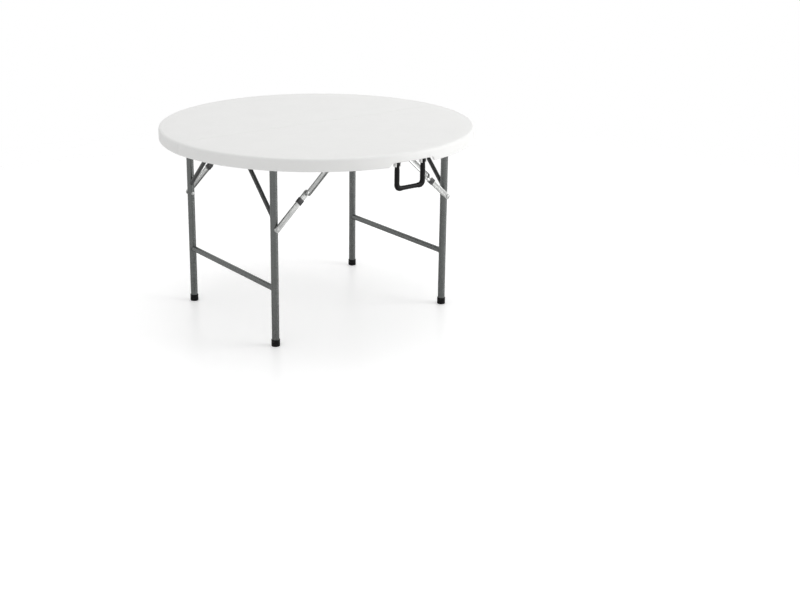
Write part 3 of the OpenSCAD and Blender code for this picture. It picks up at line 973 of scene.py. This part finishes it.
@dataclass
class Fasteners:
    """Cross-recess screws under the top."""

    head: float = 3.4 * MM
    rise: float = 1.8 * MM
    seat: float = 1.6 * MM
    slot_half: float = 0.55 * MM
    slot_depth: float = 1.0 * MM
    slot_reach: float = 0.62
    crown: tuple[float, float] = (0.8, 1.1)
    own_reach: float = 2.2
    rings: int = 8
    around: int = 32

    def screw(self) -> bpy.types.Object:
        """Makes one pan-head screw, head down.

        Returns:
            The screw, with its head's upper face at the origin.
        """
        work = bmesh.new()
        loops = []
        for ring in range(self.rings + 1):
            angle = ring / self.rings * math.pi / 2
            loop = []
            for step in range(self.around):
                turn = step / self.around * 2 * math.pi
                radius = self.head * math.cos(angle) ** self.crown[0]
                x, y = radius * math.cos(turn), radius * math.sin(turn)
                z = -self.rise * math.sin(angle) ** self.crown[1]
                if min(abs(x), abs(y)) < self.slot_half and radius < self.head * self.slot_reach:
                    z += self.slot_depth
                loop.append(work.verts.new((x, y, z)))
            loops.append(loop)
        for upper, lower in zip(loops, loops[1:]):
            for step in range(self.around):
                after = (step + 1) % self.around
                work.faces.new((upper[step], upper[after], lower[after], lower[step]))
        work.faces.new(loops[0])
        bmesh.ops.remove_doubles(work, verts=work.verts, dist=MERGE_DISTANCE)
        bmesh.ops.recalc_face_normals(work, faces=work.faces)
        mesh = bpy.data.meshes.new("screw_shape")
        work.to_mesh(mesh)
        work.free()
        return in_scene("screw_shape", mesh)

    def seats(self, node: bpy.types.Object) -> list[tuple[float, float, float]]:
        """Finds the screws of the CAD node.

        Args:
            node: the CAD node that holds all screws.

        Returns:
            For each screw the middle of its head, at the height of the head's upper face.
        """
        groups: dict[tuple[int, int], list[Vector]] = {}
        for vertex in node.data.vertices:
            x, y = vertex.co.x, vertex.co.y
            for key in groups:
                if math.hypot(x - key[0] * MM, y - key[1] * MM) < self.own_reach * self.head:
                    groups[key].append(vertex.co)
                    break
            else:
                groups[(round(x / MM), round(y / MM))] = [vertex.co]
        seats = []
        for found in groups.values():
            xs, ys, zs = zip(*found)
            seats.append(((min(xs) + max(xs)) / 2, (min(ys) + max(ys)) / 2, min(zs) + self.seat))
        return seats

    def build(self, node: bpy.types.Object) -> None:
        """Stands a screw at each place of the CAD screws.

        Args:
            node: the CAD node that holds all screws.
        """
        shape = self.screw()
        scatter = Scatter("screw_scatter", shape, "zinc_plate", math.tau)
        mesh = scatter.mesh("screws", self.seats(node))
        bpy.data.objects.remove(shape)
        made = piece("panel_screw_heads", mesh, "zinc_plate", "top")
        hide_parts("panel_screws")


@dataclass(frozen=True)
class Lamp:
    """One square soft lamp, with its size in metres and its power in watts."""

    name: str
    place: tuple[float, float, float]
    aim: tuple[float, float, float]
    size: float
    power: float

    def build(self) -> None:
        """Puts the lamp in the scene."""
        data = bpy.data.lights.new(self.name, "AREA")
        data.size = self.size
        data.energy = self.power
        made = bpy.data.objects.new(self.name, data)
        made.location = self.place
        way = Vector(self.aim) - Vector(self.place)
        made.rotation_euler = way.to_track_quat("-Z", "Y").to_euler()
        bpy.context.scene.collection.objects.link(made)


LAMPS = (
    Lamp("key", (3.1, -3.2, 1.45), (0, 0, 0.5), 2.4, 95.0),
    Lamp("overhead", (0.5, 0.4, 4.2), (0, 0, 0.7), 3.0, 44.0),
    Lamp("left", (-3.8, -1.4, 1.5), (0, 0, 0.5), 2.0, 17.0),
)


@dataclass
class Studio:
    """Camera, white floor, white surroundings and soft lamps from the right, above and left."""

    place: tuple[float, float, float] = (-2.7714, -4.0426, 1.7749)
    turn: float = 0.6172
    tilt: float = 0.2878
    sensor: float = 36.0
    lens: float = 57.78
    shift: tuple[float, float] = (0.0788, -0.094)
    fill: float = 0.62
    floor_half: float = 14.0
    floor_white: float = 0.93
    floor_roughness: float = 0.32
    floor_specular: float = 0.25
    floor_glow: float = 0.24
    floor_fade: tuple[float, float] = (1.5, 3.4)

    def camera(self) -> None:
        """Sets up the camera at the photograph's viewing angle."""
        data = bpy.data.cameras.new("camera")
        data.sensor_width = self.sensor
        data.lens = self.lens
        data.shift_x, data.shift_y = self.shift
        made = bpy.data.objects.new("camera", data)
        made.location = self.place
        made.rotation_euler = (math.pi / 2 - self.tilt, 0, -self.turn)
        bpy.context.scene.collection.objects.link(made)
        bpy.context.scene.camera = made

    def world(self) -> None:
        """Even soft light, and white for what the camera and reflections see."""
        world = bpy.data.worlds.new("surroundings")
        bpy.context.scene.world = world
        world.use_nodes = True
        nodes = Nodes(world.node_tree)
        path = nodes.node("ShaderNodeLightPath")
        seen = nodes.value(path, "Is Camera Ray")
        for ray in ("Is Glossy Ray", "Is Transmission Ray"):
            seen = seen.math("MAXIMUM", nodes.value(path, ray))
        background = world.node_tree.nodes["Background"]
        background.inputs["Color"].default_value = (1, 1, 1, 1)
        nodes.feed(background.inputs["Strength"], seen * (1 - self.fill) + self.fill)

    def floor_paint(self) -> bpy.types.Material:
        """Makes a white that fades to clear away from the table, and is clear from below.

        Returns:
            The floor's material.
        """
        paint = Paint("floor_white")
        inputs = paint.shader.inputs
        inputs["Base Color"].default_value = (*[self.floor_white] * 3, 1)
        inputs["Roughness"].default_value = self.floor_roughness
        inputs["Specular IOR Level"].default_value = self.floor_specular
        seen = paint.value(paint.node("ShaderNodeLightPath"), "Is Camera Ray")
        glow = paint.node("ShaderNodeEmission", Color=(1, 1, 1, 1),
                          Strength=seen * self.floor_glow)
        both = paint.node("ShaderNodeAddShader")
        paint.feed(both.inputs[0], paint.shader.outputs[0])
        paint.feed(both.inputs[1], glow.outputs[0])
        length = paint.node("ShaderNodeVectorMath", {"operation": "LENGTH"}, Vector=paint.coords)
        fade = paint.spread(paint.value(length, "Value"), self.floor_fade, (0.0, 1.0))
        below = paint.value(paint.node("ShaderNodeNewGeometry"), "Backfacing")
        mix = paint.node("ShaderNodeMixShader")
        clear = paint.node("ShaderNodeBsdfTransparent")
        parts = (fade.math("MAXIMUM", below), both.outputs[0], clear.outputs[0])
        for place, given in zip(mix.inputs, parts):
            paint.feed(place, given)
        paint.feed(paint.tree.nodes["Material Output"].inputs["Surface"], mix.outputs[0])
        return paint.material

    def floor(self) -> None:
        """White floor that fades into the white surroundings and keeps the table's shadow."""
        half = self.floor_half
        mesh = bpy.data.meshes.new("floor")
        corners = [(-half, -half, 0), (half, -half, 0), (half, half, 0), (-half, half, 0)]
        mesh.from_pydata(corners, [], [(0, 1, 2, 3)])
        mesh.materials.append(self.floor_paint())
        made = in_scene("floor", mesh)

    def build(self) -> None:
        """Builds the whole studio."""
        bpy.context.scene.view_settings.view_transform = "Standard"
        self.camera()
        self.world()
        self.floor()
        for lamp in LAMPS:
            lamp.build()


FINISH_OF_NODE = {"lock_sleeve": "sleeve_moulding"}
FINISH_OF_SLOT = {"hdpe": "moulded_white", "black_plastic": "black_moulding",
                  "grey_plastic": "grey_moulding", "grey_tube": "tube_coat",
                  "dark_stay": "stay_coat", "zinc": "zinc_plate"}
SMOOTH_ONLY = ("leg_front", "leg_rear", "pivot_tube", "stay", "stretcher", "hinge_pins",
               "handle_pins")
REMADE = ("top_half", "foot_cap", "panel_screws")


def soften(frame: dict) -> None:
    """Builds the soft-edged copy of every CAD node that isn't remade above.
    """
    record = frame["record"]
    slots = {part["node"]: part["material_slot"] for part in record["subparts"]}
    bodies = record["behaviour"]["bodies"]
    body_of = {node: body for body, nodes in bodies.items() for node in nodes}
    edges = SoftEdges()
    for node, source in sorted(frame["nodes"].items()):
        if node.startswith(REMADE) or node == "handle":
            continue
        finish = FINISH_OF_NODE.get(node.rsplit("_", 2)[0], FINISH_OF_SLOT[slots[node]])
        edges.build(node, source, finish, body_of[node], not node.startswith(SMOOTH_ONLY))


def main() -> None:
    """Builds the studio, then every piece of the table."""
    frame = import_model()
    Studio().build()
    for face in Face:
        TopHalf(face).build()
    for face, side in CORNERS:
        FootCap(face, side).build()
    CarryHandle().build()
    for side in Side:
        legs = LegFrame(side)
        legs.welds()
        legs.plugs()
    Fasteners().build(frame["nodes"]["panel_screws"])
    soften(frame)


if __name__ == "__main__":
    main()
